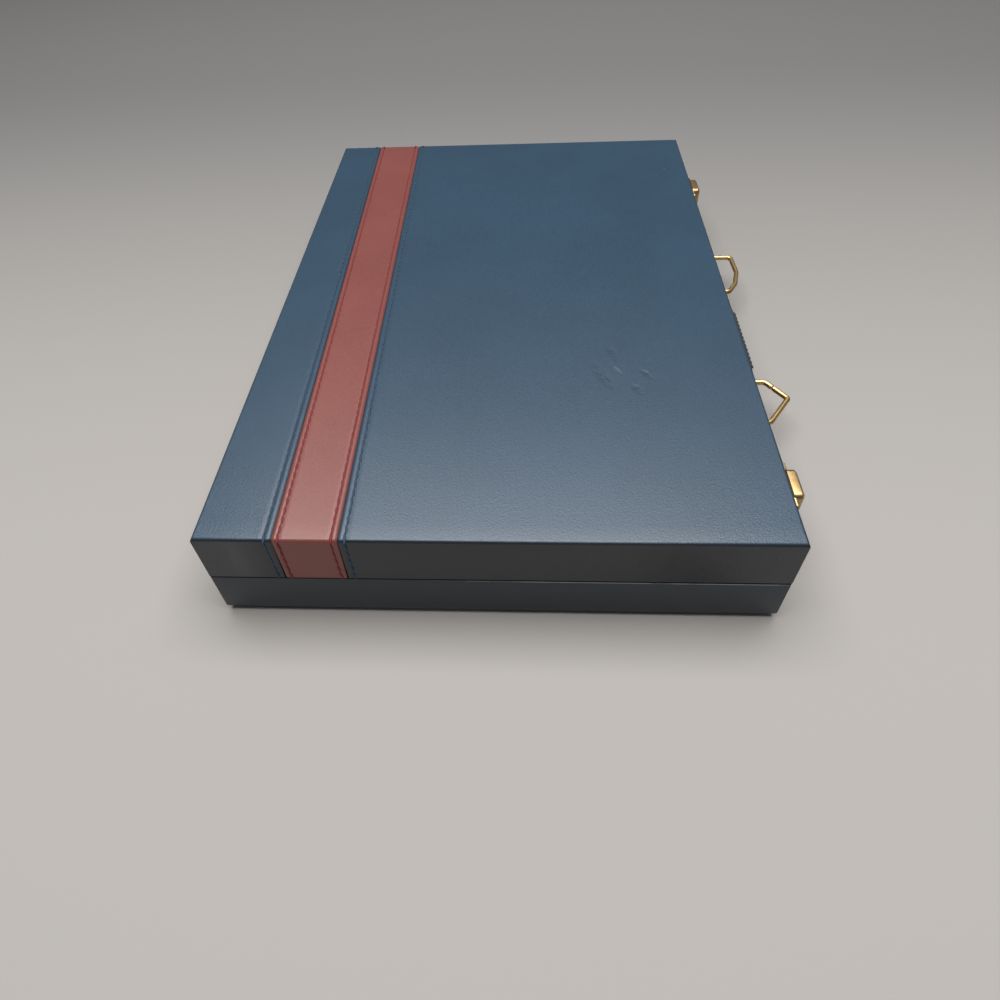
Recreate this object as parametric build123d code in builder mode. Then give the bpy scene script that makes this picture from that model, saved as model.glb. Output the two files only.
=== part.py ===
from build123d import *
import math
import os

os.makedirs("parts", exist_ok=True)

# Travel backgammon case, closed and lying flat. The origin is the centre of the underside, +X points
# to the side with the latches and the handle, +Y runs along the length and +Z points up.

# Case
case_width = 200.0
case_length = 300.0
half_height = 21.3
seam_gap = 0.4
cover_thickness = 0.8
board_thickness = 6.0
panel_thickness = 3.0
lining_thickness = 0.6
field_thickness = 0.8
inlay_thickness = 0.4
base_edge_round = 3.0
lid_edge_round = 1.2

# Felt pad under the base, and the leather hem turned in around it
pad_proud = 0.5
hem_width = 11.0
pad_clearance = 0.3

# Band sewn across the lid, measured from the hinge side at the front and at the back
band_start_front = 27.4
band_start_back = 22.2
band_width_front = 22.0
band_width_back = 23.4
groove_width = 0.6

# Playing surface and the tray beside it
tray_width = 32.0
divider_thickness = 4.0
points_per_end = 6
point_length = 112.0
point_base_share = 0.92
rest_gap = 0.1

# Loose pieces
checker_diameter = 22.0
checker_thickness = 5.0
checker_count = 15
checker_sides = 20
cup_diameter = 30.0
cup_sides = 24
cup_wall = 1.6
cup_bottom = 2.0
cup_waist = 0.8
cup_rim_length = 4.0
cup_wall_gap = 1.0
cup_cube_gap = 6.0
die_size = 9.0
die_gap = 2.0
doubling_cube_size = 14.0
cube_edge_bevel = 0.9

# Piano hinge on the outside of the hinge wall
hinge_length = 270.0
knuckle_count = 10
knuckle_radius = 1.7
knuckle_gap = 0.3
leaf_thickness = 0.7
leaf_width = 9.0
leaf_standoff = 0.3
slot_clearance = 0.3
hinge_pin_radius = 0.95
hinge_pin_fit = 0.05
nail_count = 9
nail_head_radius = 1.4
nail_head_height = 0.5
nail_row_rise = 5.4
head_sides = 8
head_taper = 20.0

# Handle: two bent wire rings in two eye plates, and a leather grip between the rings
eye_spacing = 100.0
eye_height = 14.0
eye_standoff = 2.9
eye_wire = 1.2
eye_width = 3.6
eye_plate_width = 9.0
eye_plate_height = 13.6
plate_thickness = 0.8
plate_corner = 1.5
eye_rivet_inset = 1.9
ring_wire_radius = 1.2
ring_wire_sides = 8
ring_clearance = 0.35
rivet_head_radius = 1.3
rivet_head_height = 0.5
grip_center_out = 9.5
grip_width = 10.4
grip_height = 8.8
grip_end_width = 8.6
grip_end_height = 6.8
grip_sides = 16
near_ring_inner_side = 38.0
far_ring_inner_side = 33.6
loop_width = 5.2
loop_center_out = 9.7
loop_strap = 1.4
loop_slot = 14.0
loop_clearance = 0.4
far_loop_lead = 1.6

# Latches: a plate with two ears on the base, a lever on a pin, and a catch on the lid
latch_from_end = 35.0
latch_shift_back = 2.8
latch_plate_width = 20.0
latch_plate_bottom = 3.6
latch_plate_top = 19.6
latch_pivot_height = 9.0
latch_pivot_out = 3.3
latch_pin_radius = 1.0
latch_pin_fit = 0.05
ear_radius = 2.1
ear_spacing = 11.2
ear_thickness = 0.8
ear_gap = 0.2
lever_wing_width = 22.4
lever_wing_out = 6.0
lever_sheet = 0.8
lever_wing_top = 29.6
lever_wing_round = 1.5
lever_box_width = 14.3
lever_box_reach = 10.0
lever_box_top = 30.6
lever_box_bottom = 18.4
lever_box_round = 2.2
lever_face_bevel = 1.0
lever_bottom = 7.6
lip_width = 10.0
lip_reach = 2.2
catch_gap = 0.2
catch_width = 9.0
catch_plate_width = 15.0
catch_plate_bottom = 22.9
catch_hook_reach = 4.0
catch_hook_thickness = 1.4
catch_plate_top = 31.0
latch_rivet_inset = 2.0
latch_rivet_drop = 2.4
catch_rivet_inset = 1.6
catch_rivet_rise = 1.8

# Derived sizes
lid_underside = half_height + seam_gap
case_height = lid_underside + half_height
hinge_height = half_height + seam_gap / 2
inner_width = case_width - 2 * (cover_thickness + board_thickness)
inner_length = case_length - 2 * (cover_thickness + board_thickness)
well_width = inner_width - 2 * lining_thickness
well_length = inner_length - 2 * lining_thickness
field_width = well_width - tray_width - divider_thickness
field_start = -well_width / 2
divider_start = field_start + field_width
tray_start = divider_start + divider_thickness
tray_center = tray_start + tray_width / 2
panel_depth = cover_thickness + panel_thickness
floor_depth = panel_depth + field_thickness
wall_out = case_width / 2
hinge_out = -(wall_out + knuckle_radius + leaf_standoff)

# Each half is built inwards from its outer face: the base upwards, the lid downwards
base_home = Plane(origin=(0, 0, pad_proud), x_dir=(1, 0, 0), z_dir=(0, 0, 1))
lid_home = Plane(origin=(0, 0, case_height), x_dir=(1, 0, 0), z_dir=(0, 0, -1))
base_depth = half_height - pad_proud
lid_depth = half_height


def save(piece, name):
    """Label a finished piece and write it under its node's name."""
    piece.part.label = name
    export_step(piece.part, f"parts/{name}.step")


def wall_section(y):
    """Plane square to the latch wall at y: local x is the distance out of the wall, local y the height."""
    return Plane(origin=(wall_out, y, 0), x_dir=(1, 0, 0), z_dir=(0, -1, 0))


def wall_face(y):
    """Plane of the latch wall's outer face at y, looking out of the wall: local x runs along the length."""
    return Plane(origin=(wall_out, y, 0), x_dir=(0, 1, 0), z_dir=(1, 0, 0))


def rounded_block(home, inset, depth, edge_round):
    """Block of one half, inset from its outer faces, with its outermost edges rounded."""
    with BuildPart() as block:
        with BuildSketch(home.offset(inset)):
            Rectangle(case_width - 2 * inset, case_length - 2 * inset)
        extrude(amount=depth - 2 * inset)
        outer_face = block.faces().sort_by(Axis(home.origin, home.z_dir))[0]
        fillet(outer_face.edges(), radius=edge_round - inset)
    return block.part


def frame_boards(home, depth, edge_round, prefix):
    """Four wooden boards of one half: front and back run across, the two side boards fit between."""
    block = rounded_block(home, cover_thickness, depth, edge_round)
    side_x = (inner_width + board_thickness) / 2
    end_y = (inner_length + board_thickness) / 2
    across = (case_width, board_thickness)
    along = (board_thickness, inner_length)
    places = {
        "front_board": (0, -end_y, across),
        "back_board": (0, end_y, across),
        "hinge_board": (-side_x, 0, along),
        "latch_board": (side_x, 0, along),
    }
    for board_name, (x, y, size) in places.items():
        with BuildPart() as board:
            add(block)
            with Locations((x, y, case_height / 2)):
                Box(size[0], size[1], 2 * case_height, mode=Mode.INTERSECT)
        save(board, f"{prefix}_{board_name}")


def cover_shell(home, depth, edge_round):
    """Leather skin of one half: outer walls, outer face, and the edge turned in over the boards' rim."""
    core = rounded_block(home, cover_thickness, depth, edge_round)
    with BuildPart() as shell:
        add(rounded_block(home, 0, depth, edge_round))
        add(core, mode=Mode.SUBTRACT)
        with BuildSketch(home.offset(depth - 2 * cover_thickness)):
            Rectangle(well_width, well_length)
        extrude(amount=3 * cover_thickness, mode=Mode.SUBTRACT)
    return shell.part


def panel(home, name):
    """Plywood panel that closes one half inside its frame of boards."""
    with BuildPart() as piece:
        with BuildSketch(home.offset(cover_thickness)):
            Rectangle(inner_width, inner_length)
        extrude(amount=panel_thickness)
    save(piece, name)


def lining(home, depth, name):
    """Thin lining on the inner side of the four boards, from the panel up to the turned-in edge."""
    with BuildPart() as piece:
        with BuildSketch(home.offset(panel_depth)):
            Rectangle(inner_width, inner_length)
            Rectangle(well_width, well_length, mode=Mode.SUBTRACT)
        extrude(amount=depth - cover_thickness - panel_depth)
    save(piece, name)


def floor_sheet(home, start, width, name):
    """Sheet glued on the panel from start to start + width, over the length of the well."""
    with BuildPart() as piece:
        with BuildSketch(home.offset(panel_depth)):
            with Locations((start + width / 2, 0)):
                Rectangle(width, well_length)
        extrude(amount=field_thickness)
    save(piece, name)


def tray_divider(home, depth, name):
    """Rail between the playing surface and the tray, as high as the rim of its half."""
    with BuildPart() as piece:
        with BuildSketch(home.offset(panel_depth)):
            with Locations((divider_start + divider_thickness / 2, 0)):
                Rectangle(divider_thickness, well_length)
        extrude(amount=depth - panel_depth)
    save(piece, name)


def point_inlays(home, first, name):
    """Every second point of one half, as inlays with their bases on the end walls.

    The points of the other end are shifted by one, so that facing points differ in colour."""
    pitch = field_width / points_per_end
    half_base = pitch * point_base_share / 2
    base_y = well_length / 2
    with BuildPart() as piece:
        with BuildSketch(home.offset(floor_depth)):
            for index in range(points_per_end):
                end = -1 if index % 2 == first else 1
                x = field_start + (index + 0.5) * pitch
                tip_y = end * (base_y - point_length)
                with BuildLine():
                    Polyline(
                        (x - half_base, end * base_y),
                        (x + half_base, end * base_y),
                        (x, tip_y),
                        close=True,
                    )
                make_face()
        extrude(amount=inlay_thickness)
    save(piece, name)


# Base half
frame_boards(base_home, base_depth, base_edge_round, "base")
panel(base_home, "base_panel")
lining(base_home, base_depth, "base_lining")
floor_sheet(base_home, field_start, field_width, "base_field")
floor_sheet(base_home, tray_start, tray_width, "base_tray_felt")
tray_divider(base_home, base_depth, "base_tray_divider")
point_inlays(base_home, 0, "base_points_maroon")
point_inlays(base_home, 1, "base_points_navy")

hem_opening = (case_width - 2 * hem_width, case_length - 2 * hem_width)

with BuildPart() as base_cover:
    add(cover_shell(base_home, base_depth, base_edge_round))
    with BuildSketch(base_home):
        Rectangle(*hem_opening)
    extrude(amount=cover_thickness, mode=Mode.SUBTRACT)
save(base_cover, "base_cover")

with BuildPart() as base_pad:
    with BuildSketch(Plane.XY):
        Rectangle(hem_opening[0] - 2 * pad_clearance, hem_opening[1] - 2 * pad_clearance)
    extrude(amount=pad_proud + cover_thickness)
save(base_pad, "base_pad")

# Lid half
frame_boards(lid_home, lid_depth, lid_edge_round, "lid")
panel(lid_home, "lid_panel")
lining(lid_home, lid_depth, "lid_lining")
floor_sheet(lid_home, field_start, field_width, "lid_field")
floor_sheet(lid_home, tray_start, tray_width, "lid_tray_felt")
tray_divider(lid_home, lid_depth, "lid_tray_divider")
point_inlays(lid_home, 0, "lid_points_maroon")
point_inlays(lid_home, 1, "lid_points_navy")

# The lid's skin is three pieces of leather sewn edge to edge, cut by the two lines of the band
hinge_edge = -case_width / 2
far_past = case_length
near_y = -case_length / 2
far_y = case_length / 2
band_start_slope = (band_start_back - band_start_front) / case_length
band_end_front = band_start_front + band_width_front
band_end_back = band_start_back + band_width_back
band_end_slope = (band_end_back - band_end_front) / case_length


def start_line(y, shift):
    """Edge of the band towards the hinge at y, moved along X by shift."""
    return (hinge_edge + band_start_front + band_start_slope * (y - near_y) + shift, y)


def end_line(y, shift):
    """Edge of the band towards the latches at y, moved along X by shift."""
    return (hinge_edge + band_end_front + band_end_slope * (y - near_y) + shift, y)


def lid_skin(corners, name):
    """Part of the lid's leather skin inside an outline seen from above."""
    with BuildPart() as piece:
        add(lid_shell)
        with BuildSketch(Plane.XY, mode=Mode.PRIVATE) as region:
            with BuildLine():
                Polyline(*corners, close=True)
            make_face()
        extrude(region.sketch, amount=2 * case_height, mode=Mode.INTERSECT)
    save(piece, name)


lid_shell = cover_shell(lid_home, lid_depth, lid_edge_round)
groove = groove_width / 2
low_y = near_y - far_past
high_y = far_y + far_past
lid_skin(
    [
        (-case_width, low_y),
        start_line(low_y, -groove),
        start_line(high_y, -groove),
        (-case_width, high_y),
    ],
    "lid_cover_left",
)
lid_skin(
    [
        start_line(low_y, groove),
        end_line(low_y, -groove),
        end_line(high_y, -groove),
        start_line(high_y, groove),
    ],
    "lid_band",
)
lid_skin(
    [
        end_line(low_y, groove),
        (case_width, low_y),
        (case_width, high_y),
        end_line(high_y, groove),
    ],
    "lid_cover_right",
)


# Piano hinge
knuckle_pitch = hinge_length / knuckle_count
leaf_face = -wall_out - leaf_thickness
opposite_slot = knuckle_radius + slot_clearance


def hinge_leaf(side, first, name):
    """Leaf on the outside of one half, side -1 for the base and +1 for the lid, curled into its knuckles."""
    edge_z = hinge_height + side * (knuckle_radius + leaf_width)
    mid_x = leaf_face + leaf_thickness / 2
    with BuildPart() as leaf:
        with Locations((mid_x, 0, (hinge_height + edge_z) / 2)):
            Box(leaf_thickness, hinge_length, abs(edge_z - hinge_height))
        for index in range(knuckle_count):
            y = -hinge_length / 2 + (index + 0.5) * knuckle_pitch
            if index % 2 == first:
                with Locations((hinge_out, y, hinge_height)):
                    Cylinder(knuckle_radius, knuckle_pitch - knuckle_gap, rotation=(90, 0, 0))
        for index in range(knuckle_count):
            y = -hinge_length / 2 + (index + 0.5) * knuckle_pitch
            if index % 2 != first:
                with Locations((hinge_out, y, hinge_height)):
                    Box(
                        4 * knuckle_radius,
                        knuckle_pitch + knuckle_gap,
                        2 * opposite_slot,
                        mode=Mode.SUBTRACT,
                    )
        with Locations((hinge_out, 0, hinge_height)):
            Cylinder(
                hinge_pin_radius + hinge_pin_fit,
                hinge_length + knuckle_pitch,
                rotation=(90, 0, 0),
                mode=Mode.SUBTRACT,
            )
    save(leaf, name)


def hinge_nails(side, name):
    """Row of nail heads seated on the outside of one leaf."""
    z = hinge_height + side * (knuckle_radius + nail_row_rise)
    spacing = (hinge_length - knuckle_pitch) / (nail_count - 1)
    row = Plane(origin=(leaf_face, 0, z), x_dir=(0, -1, 0), z_dir=(-1, 0, 0))
    with BuildPart() as nails:
        with BuildSketch(row):
            with GridLocations(spacing, 0, nail_count, 1):
                RegularPolygon(nail_head_radius, head_sides)
        extrude(amount=nail_head_height, taper=head_taper)
    save(nails, name)


hinge_leaf(-1, 0, "hinge_base_leaf")
hinge_leaf(1, 1, "hinge_lid_leaf")
hinge_nails(-1, "hinge_base_nails")
hinge_nails(1, "hinge_lid_nails")

with BuildPart() as hinge_pin:
    with Locations((hinge_out, 0, hinge_height)):
        Cylinder(hinge_pin_radius, hinge_length, rotation=(90, 0, 0))
save(hinge_pin, "hinge_pin")


# Latches
latch_y = case_length / 2 - latch_from_end
hook_top = lever_wing_top - lever_sheet - catch_gap
ear_inner = ear_spacing / 2
ear_outer = ear_inner + ear_thickness
flange_inner = ear_outer + ear_gap
flange_outer = flange_inner + ear_thickness


def pivot_tabs(y, inner, back, hole_radius):
    """Pair of round-ended tabs around the latch pivot, from inner to inner + ear_thickness each side of y."""
    with BuildPart() as tabs:
        for side in (-1, 1):
            section = wall_section(y + side * (inner + ear_thickness / 2))
            with BuildSketch(section):
                with Locations((latch_pivot_out, latch_pivot_height)):
                    Circle(ear_radius)
                with Locations(((back + latch_pivot_out) / 2, latch_pivot_height)):
                    Rectangle(abs(latch_pivot_out - back), 2 * ear_radius)
                with Locations((latch_pivot_out, latch_pivot_height)):
                    Circle(hole_radius, mode=Mode.SUBTRACT)
            extrude(amount=ear_thickness / 2, both=True)
    return tabs.part


def latch_plate(y, name):
    """Back plate on the base with the two ears that hold the lever's pin."""
    height = latch_plate_top - latch_plate_bottom
    with BuildPart() as plate:
        with BuildSketch(wall_face(y)):
            with Locations((0, latch_plate_bottom + height / 2)):
                RectangleRounded(latch_plate_width, height, plate_corner)
        extrude(amount=plate_thickness)
        add(pivot_tabs(y, ear_inner, plate_thickness, latch_pin_radius))
    save(plate, name)


def latch_pin(y, name):
    """Pin through both ears and both flanges of the lever."""
    with BuildPart() as pin:
        with Locations((wall_out + latch_pivot_out, y, latch_pivot_height)):
            Cylinder(latch_pin_radius, 2 * flange_outer + ear_thickness, rotation=(90, 0, 0))
    save(pin, name)


def latch_lever(y, name):
    """Pressed lever: flat wings, a hollow raised box, a lip over the catch, and flanges on the pin."""
    wing_height = lever_wing_top - lever_bottom
    box_height = lever_box_top - lever_box_bottom
    wing_back = wall_face(y).offset(lever_wing_out)
    box_depth = lever_box_reach - lever_wing_out
    with BuildPart() as lever:
        with BuildSketch(wing_back):
            with Locations((0, lever_bottom + wing_height / 2)):
                RectangleRounded(lever_wing_width, wing_height, lever_wing_round)
        extrude(amount=lever_sheet)
        with BuildPart(mode=Mode.PRIVATE) as raised:
            with BuildSketch(wing_back):
                with Locations((0, lever_box_bottom + box_height / 2)):
                    RectangleRounded(lever_box_width, box_height, lever_box_round)
            extrude(amount=box_depth)
            chamfer(raised.faces().sort_by(Axis.X)[-1].edges(), length=lever_face_bevel)
        add(raised.part)
        with BuildSketch(wing_back):
            with Locations((0, (lever_box_bottom + hook_top) / 2)):
                RectangleRounded(
                    lever_box_width - 2 * lever_sheet,
                    hook_top - lever_box_bottom - 2 * lever_sheet,
                    lever_box_round - lever_sheet,
                )
        extrude(amount=box_depth - lever_sheet, mode=Mode.SUBTRACT)
        with BuildSketch(wall_section(y)):
            with Locations(((lip_reach + lever_wing_out) / 2, lever_wing_top - lever_sheet / 2)):
                Rectangle(lever_wing_out - lip_reach, lever_sheet)
        extrude(amount=lip_width / 2, both=True)
        add(pivot_tabs(y, flange_inner, lever_wing_out + lever_sheet / 2, latch_pin_radius + latch_pin_fit))
    save(lever, name)


def latch_catch(y, name):
    """Catch plate on the lid with the hook that the lever's lip holds down."""
    height = catch_plate_top - catch_plate_bottom
    with BuildPart() as catch:
        with BuildSketch(wall_face(y)):
            with Locations((0, catch_plate_bottom + height / 2)):
                RectangleRounded(catch_plate_width, height, plate_corner)
        extrude(amount=plate_thickness)
        with BuildSketch(wall_section(y)):
            with BuildLine():
                Polyline(
                    (plate_thickness, hook_top - 3 * catch_hook_thickness),
                    (plate_thickness, hook_top),
                    (catch_hook_reach, hook_top),
                    (catch_hook_reach, hook_top - catch_hook_thickness),
                    close=True,
                )
            make_face()
        extrude(amount=catch_width / 2, both=True)
    save(catch, name)


def rivet_heads(centers, name):
    """Rivet heads seated on the plates of the latch wall, at (y, z) centers."""
    with BuildPart() as heads:
        for y, z in centers:
            with BuildSketch(wall_face(y).offset(plate_thickness)):
                with Locations((0, z)):
                    RegularPolygon(rivet_head_radius, head_sides)
            extrude(amount=rivet_head_height, taper=head_taper)
    save(heads, name)


latch_rivet_out = latch_plate_width / 2 - latch_rivet_inset
catch_rivet_out = catch_plate_width / 2 - catch_rivet_inset
latch_rivet_z = latch_plate_top - latch_rivet_drop
catch_rivet_z = catch_plate_bottom + catch_rivet_rise
latch_rivets = []
catch_rivets = []
for side, place in ((-1, "near"), (1, "far")):
    y = side * latch_y + latch_shift_back
    latch_plate(y, f"latch_{place}_plate")
    latch_pin(y, f"latch_{place}_pin")
    latch_lever(y, f"latch_{place}_lever")
    latch_catch(y, f"latch_{place}_catch")
    for across in (-1, 1):
        latch_rivets.append((y + across * latch_rivet_out, latch_rivet_z))
        catch_rivets.append((y + across * catch_rivet_out, catch_rivet_z))
rivet_heads(latch_rivets, "latch_plate_rivets")
rivet_heads(catch_rivets, "catch_rivets")


# Handle eyes, rings and grip
eye_y = eye_spacing / 2
eye_hole = ring_wire_radius + ring_clearance
eye_outer = eye_hole + eye_wire


def eye_plate(y, name):
    """Plate on the base with a half-round eye for a ring of the handle."""
    with BuildPart() as plate:
        with BuildSketch(wall_face(y)):
            with Locations((0, eye_height)):
                RectangleRounded(eye_plate_width, eye_plate_height, plate_corner)
        extrude(amount=plate_thickness)
        with BuildSketch(wall_section(y)):
            with Locations((eye_standoff, eye_height)):
                Circle(eye_outer)
            with Locations(((plate_thickness + eye_standoff) / 2, eye_height)):
                Rectangle(eye_standoff - plate_thickness, 2 * eye_outer)
            with Locations((eye_standoff, eye_height)):
                Circle(eye_hole, mode=Mode.SUBTRACT)
            with Locations(((plate_thickness + eye_standoff) / 2, eye_height)):
                Rectangle(eye_standoff - plate_thickness, 2 * eye_hole, mode=Mode.SUBTRACT)
        extrude(amount=eye_width / 2, both=True)
    save(plate, name)


def wire_ring(side, corners, bends, name):
    """Ring bent from round wire, through corners given as (out of the wall, away from the middle)."""
    level = Plane.XY.offset(eye_height)
    points = [(wall_out + out, side * away) for out, away in corners]
    with BuildPart() as ring:
        with BuildLine(level) as bend_line:
            FilletPolyline(*points, radius=bends, close=True)
        path = bend_line.wires()[0]
        with BuildSketch(Plane(origin=path @ 0, z_dir=path % 0)):
            RegularPolygon(ring_wire_radius, ring_wire_sides)
        sweep(path=path)
    save(ring, name)


near_ring_corners = [
    (eye_standoff, near_ring_inner_side),
    (17.5, near_ring_inner_side),
    (24.9, 49.0),
    (14.0, 64.3),
    (eye_standoff, 66.0),
]
near_ring_bends = [3.0, 2.2, 1.5, 6.0, 4.0]
far_ring_corners = [
    (eye_standoff, far_ring_inner_side),
    (15.3, far_ring_inner_side),
    (19.6, 40.5),
    (22.3, 51.5),
    (21.8, 66.0),
    (eye_standoff, 66.0),
]
far_ring_bends = [3.0, 2.0, 8.0, 12.0, 2.0, 4.0]
wire_ring(-1, near_ring_corners, near_ring_bends, "handle_near_ring")
wire_ring(1, far_ring_corners, far_ring_bends, "handle_far_ring")
eye_plate(-eye_y, "handle_near_eye")
eye_plate(eye_y, "handle_far_eye")
eye_rivet_rise = eye_plate_height / 2 - eye_rivet_inset
rivet_heads(
    [(side * eye_y, eye_height + up * eye_rivet_rise) for side in (-1, 1) for up in (-1, 1)],
    "handle_eye_rivets",
)

# The grip swells in the middle, and its ends are loops of strap around the inner sides of the rings.
# It lies slid towards the near ring, whose wire is at the inner end of its loop's slot.
loop_hole = ring_wire_radius + loop_clearance
loop_outer = loop_hole + loop_strap
near_slot_start = near_ring_inner_side
far_slot_start = far_ring_inner_side + far_loop_lead - loop_slot
grip_near_end = -(near_slot_start - loop_outer)
grip_far_end = far_slot_start - loop_outer
grip_x = wall_out + grip_center_out
grip_length = grip_far_end - grip_near_end


def grip_section(y):
    """Plane across the grip at y."""
    return Plane(origin=(grip_x, y, eye_height), x_dir=(1, 0, 0), z_dir=(0, -1, 0))


def grip_loop(side, slot_start, name):
    """Flat loop of strap from the end of the grip outwards, with a slot for the ring's wire."""
    start = slot_start - loop_outer
    slot_end = slot_start + loop_slot
    section = Plane(origin=(wall_out + loop_center_out, 0, eye_height), x_dir=(0, 1, 0), z_dir=(1, 0, 0))
    with BuildPart() as loop:
        with BuildSketch(section):
            with Locations((side * (start + slot_end) / 2, 0)):
                Rectangle(slot_end - start, 2 * loop_outer)
            with Locations((side * slot_end, 0)):
                Circle(loop_outer)
            with Locations((side * (slot_start + slot_end) / 2, 0)):
                SlotCenterToCenter(loop_slot, 2 * loop_hole, mode=Mode.SUBTRACT)
        extrude(amount=loop_width / 2, both=True)
    save(loop, name)


# Shares of the grip's length, and how much of its swell from end to middle it has there
grip_stations = [(0.0, 0.0), (0.1, 0.6), (0.25, 1.0), (0.75, 1.0), (0.9, 0.6), (1.0, 0.0)]
with BuildPart() as handle_grip:
    for share, swell in grip_stations:
        width = grip_end_width + (grip_width - grip_end_width) * swell
        height = grip_end_height + (grip_height - grip_end_height) * swell
        corners = []
        for index in range(grip_sides):
            turn = 2 * math.pi * index / grip_sides
            corners.append((width / 2 * math.cos(turn), height / 2 * math.sin(turn)))
        with BuildSketch(grip_section(grip_near_end + grip_length * share)):
            Polygon(*corners, align=None)
    loft(ruled=True)
save(handle_grip, "handle_grip")
grip_loop(-1, near_slot_start, "handle_near_loop")
grip_loop(1, far_slot_start, "handle_far_loop")


# Loose pieces in the base tray: a row of checkers at each end, two dice cups mouth to mouth, the dice
# in the cups and the doubling cube between them
tray_floor = pad_proud + floor_depth
checker_pitch = checker_thickness + rest_gap
row_length = checker_count * checker_pitch
row_start = well_length / 2 - rest_gap
cup_radius = cup_diameter / 2
cup_axis_z = tray_floor + rest_gap + cup_radius
cup_base_y = row_start - row_length - cup_wall_gap
cup_length = cup_base_y - cup_cube_gap - doubling_cube_size / 2
cup_middle = cup_radius - cup_waist
cup_bore = cup_middle - cup_wall


def checker_row(side, name):
    """Checkers standing on edge side by side, from one end wall of the tray inwards."""
    z = tray_floor + rest_gap + checker_diameter / 2
    with BuildPart() as row:
        for index in range(checker_count):
            y = side * (row_start - (index + 0.5) * checker_pitch)
            with BuildSketch(Plane(origin=(tray_center, y, z), x_dir=(1, 0, 0), z_dir=(0, -1, 0))):
                RegularPolygon(checker_diameter / 2, checker_sides)
            extrude(amount=checker_thickness / 2, both=True)
    save(row, name)


def dice_cup(side, name):
    """Cup lying along the tray with its mouth towards the middle, waisted between its foot and its lip."""
    foot = Plane(origin=(tray_center, side * cup_base_y, cup_axis_z), x_dir=(1, 0, 0), z_dir=(0, -side, 0))
    turned = [
        (0, cup_rim_length, cup_radius),
        (0, cup_length, cup_middle),
        (cup_length - cup_rim_length, cup_rim_length, cup_radius),
    ]
    with BuildPart() as cup:
        for start, length, radius in turned:
            with BuildSketch(foot.offset(start)):
                RegularPolygon(radius, cup_sides)
            extrude(amount=length)
        with BuildSketch(foot.offset(cup_bottom)):
            RegularPolygon(cup_bore, cup_sides)
        extrude(amount=cup_length, mode=Mode.SUBTRACT)
    save(cup, name)


def bevelled_cube(x, y, z, size):
    """Cube with bevelled edges, centred at a point."""
    with BuildPart(mode=Mode.PRIVATE) as cube:
        with Locations((x, y, z)):
            Box(size, size, size)
        chamfer(cube.edges(), length=cube_edge_bevel)
    return cube.part


def dice_pair(side, name):
    """Two dice lying on the inside of a cup, one behind the other."""
    drop = (cup_bore**2 - (die_size / 2) ** 2) ** 0.5
    z = cup_axis_z - drop + rest_gap + die_size / 2
    with BuildPart() as dice:
        for index in range(2):
            from_base = cup_bottom + die_gap + die_size / 2 + index * (die_size + die_gap)
            add(bevelled_cube(tray_center, side * (cup_base_y - from_base), z, die_size))
    save(dice, name)


checker_row(-1, "checkers_maroon")
checker_row(1, "checkers_ivory")
dice_cup(-1, "dice_cup_near")
dice_cup(1, "dice_cup_far")
dice_pair(-1, "dice_ivory")
dice_pair(1, "dice_maroon")

with BuildPart() as doubling_cube:
    add(bevelled_cube(tray_center, 0, tray_floor + doubling_cube_size / 2, doubling_cube_size))
save(doubling_cube, "doubling_cube")
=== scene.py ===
import math

import bmesh
import bpy
from mathutils import Euler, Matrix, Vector


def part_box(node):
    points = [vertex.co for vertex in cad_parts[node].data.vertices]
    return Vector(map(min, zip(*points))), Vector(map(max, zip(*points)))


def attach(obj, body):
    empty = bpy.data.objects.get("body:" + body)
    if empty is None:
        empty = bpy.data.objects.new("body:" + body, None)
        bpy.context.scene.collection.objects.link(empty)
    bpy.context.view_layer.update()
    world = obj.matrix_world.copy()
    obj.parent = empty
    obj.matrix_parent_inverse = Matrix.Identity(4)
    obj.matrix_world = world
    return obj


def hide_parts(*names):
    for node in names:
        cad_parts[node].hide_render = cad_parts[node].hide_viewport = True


# Travel backgammon case, closed and lying flat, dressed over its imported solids. Metres, Z up, +X towards
# the latches and the handle; the camera looks along +Y over the short end.
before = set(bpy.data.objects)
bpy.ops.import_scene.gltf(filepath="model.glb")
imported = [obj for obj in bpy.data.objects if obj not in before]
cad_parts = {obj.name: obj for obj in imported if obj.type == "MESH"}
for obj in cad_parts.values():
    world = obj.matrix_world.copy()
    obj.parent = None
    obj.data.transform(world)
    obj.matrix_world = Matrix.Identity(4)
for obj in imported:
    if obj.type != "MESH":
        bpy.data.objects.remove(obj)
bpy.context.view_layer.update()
MM = 0.001

# Case, in millimetres as in the solids
CASE_HALF_WIDTH = 100.0
CASE_HALF_LENGTH = 150.0
CASE_TOP = 43.0
LID_BOTTOM = 21.7
LID_EDGE_ROUND = 1.2

# Edges of the maroon band from the hinge side, at the front and at the back of the case
BAND_START = (27.4, 22.2)
BAND_END = (49.4, 45.6)

# Sewing: distance of the thread from the middle of the groove, the machine's stitch, and the height above the
# bottom of the lid at which a row ends
BAND_STITCH_INSET = 2.1
NAVY_STITCH_INSET = 2.5
STITCH_PITCH = 4.0
STITCH_LENGTH = 4.1
STITCH_SLANT = math.radians(5)
THREAD_WIDTH = 1.0
SEAM_END = 1.5

# Height of a folded and sewn edge above the flat leather, at distances from the middle of the groove
BAND_FOLD = [
    (0.3, -0.32), (0.5, 0.0), (0.9, 0.2), (1.5, 0.22), (2.1, -0.16), (2.7, 0.04), (3.8, 0.0),
]
NAVY_FOLD = [
    (0.3, -0.32), (0.5, -0.02), (0.9, 0.15), (1.7, 0.18), (2.5, -0.16), (3.2, 0.04), (4.6, 0.0),
]
FOLD_STEP = 7.5
GROOVE_HALF = 0.05

# The folds rise and fall along the seam by this share, in two waves given in radians a millimetre
FOLD_UNEVENNESS = 0.25
FOLD_WAVES = (0.31, 0.083)

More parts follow.
